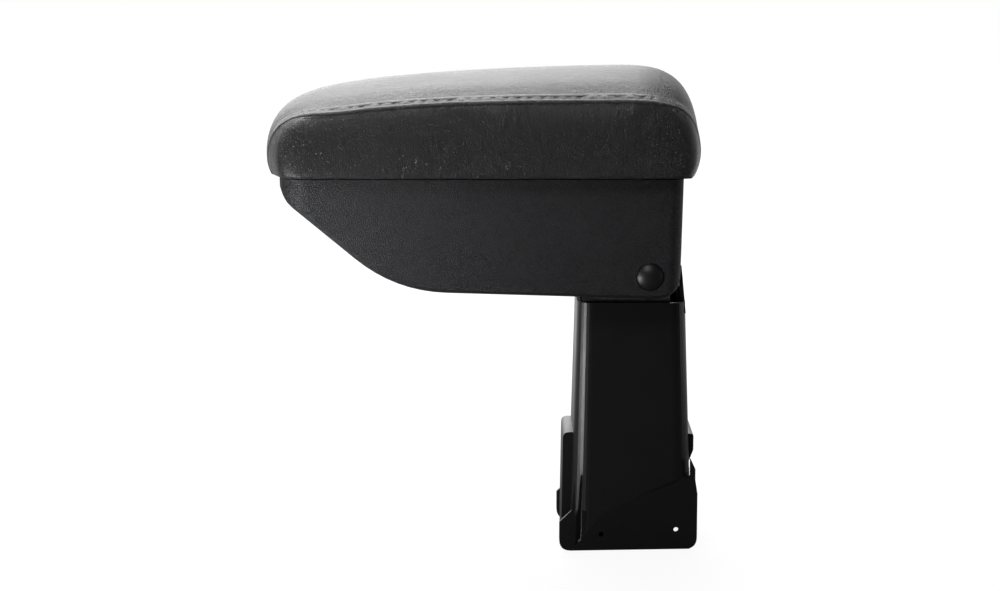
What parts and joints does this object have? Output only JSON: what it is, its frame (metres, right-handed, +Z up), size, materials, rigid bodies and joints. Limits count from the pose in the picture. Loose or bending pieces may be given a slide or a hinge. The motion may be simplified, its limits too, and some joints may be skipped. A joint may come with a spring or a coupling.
{
  "type": "car centre armrest",
  "caption": "Padded wedge-shaped armrest lid over a moulded storage box that tilts up on a steel leg inside a tapered plastic pedestal.",
  "frame": {"origin": "middle of the pedestal's foot on the floor, on the mid plane across the armrest", "axes": "+X towards the rear of the armrest, +Y across it away from the pictured side, +Z up"},
  "size_m": [0.2891, 0.132, 0.323],
  "materials": {
    "pedestal_plastic": "black vacuum-smooth plastic with a soft sheen",
    "zinc_plated_steel": "bright zinc plating on folded sheet steel",
    "bright_steel": "turned bright steel",
    "black_rubber": "matt black rubber",
    "nylon": "natural nylon",
    "grained_plastic": "black plastic moulded with a fine leather grain",
    "brown_fibre": "pressed brown fibre",
    "cap_plastic": "smooth satin black plastic",
    "felt_mat": "needled black felt",
    "base_plastic": "fine textured black plastic",
    "polyurethane_foam": "open cell foam",
    "black_leatherette": "black leatherette with a fine grain and a sewn seam"
  },
  "bodies": {
    "pedestal": {"pedestal_shell": "pedestal_plastic", "support_leg": "zinc_plated_steel", "foot_plate": "zinc_plated_steel", "foot_bolts": "bright_steel", "leg_shell_screws": "bright_steel", "tilt_stop_pads": "black_rubber", "pivot_bush_left": "nylon", "pivot_bush_right": "nylon"},
    "armrest": {"storage_box": "grained_plastic", "pivot_shaft": "bright_steel", "friction_washers": "brown_fibre", "disc_springs": "bright_steel", "pivot_spacers": "bright_steel", "pivot_end_washers": "bright_steel", "pivot_screws": "bright_steel", "pivot_cap_left": "cap_plastic", "pivot_cap_right": "cap_plastic", "box_mat": "felt_mat", "striker_plate": "zinc_plated_steel", "striker_screw": "bright_steel", "lid_hinge_pin": "bright_steel"},
    "lid": {"lid_base": "base_plastic", "lid_shell": "base_plastic", "lid_screws": "bright_steel", "lid_bumpers": "black_rubber", "catch_magnet": "bright_steel", "lid_foam": "polyurethane_foam", "cover_top_panel": "black_leatherette", "cover_side_left": "black_leatherette", "cover_side_right": "black_leatherette"}
  },
  "joints": [
    {"name": "armrest_tilt", "type": "hinge", "parent": "pedestal", "child": "armrest", "pos_m": [0.012, 0, 0.189], "axis": [0, 1, 0], "range_deg": [0, 90]},
    {"name": "lid_hinge", "type": "hinge", "parent": "armrest", "child": "lid", "pos_m": [0.0369, 0, 0.253], "axis": [0, 1, 0], "range_deg": [0, 80]}
  ]
}
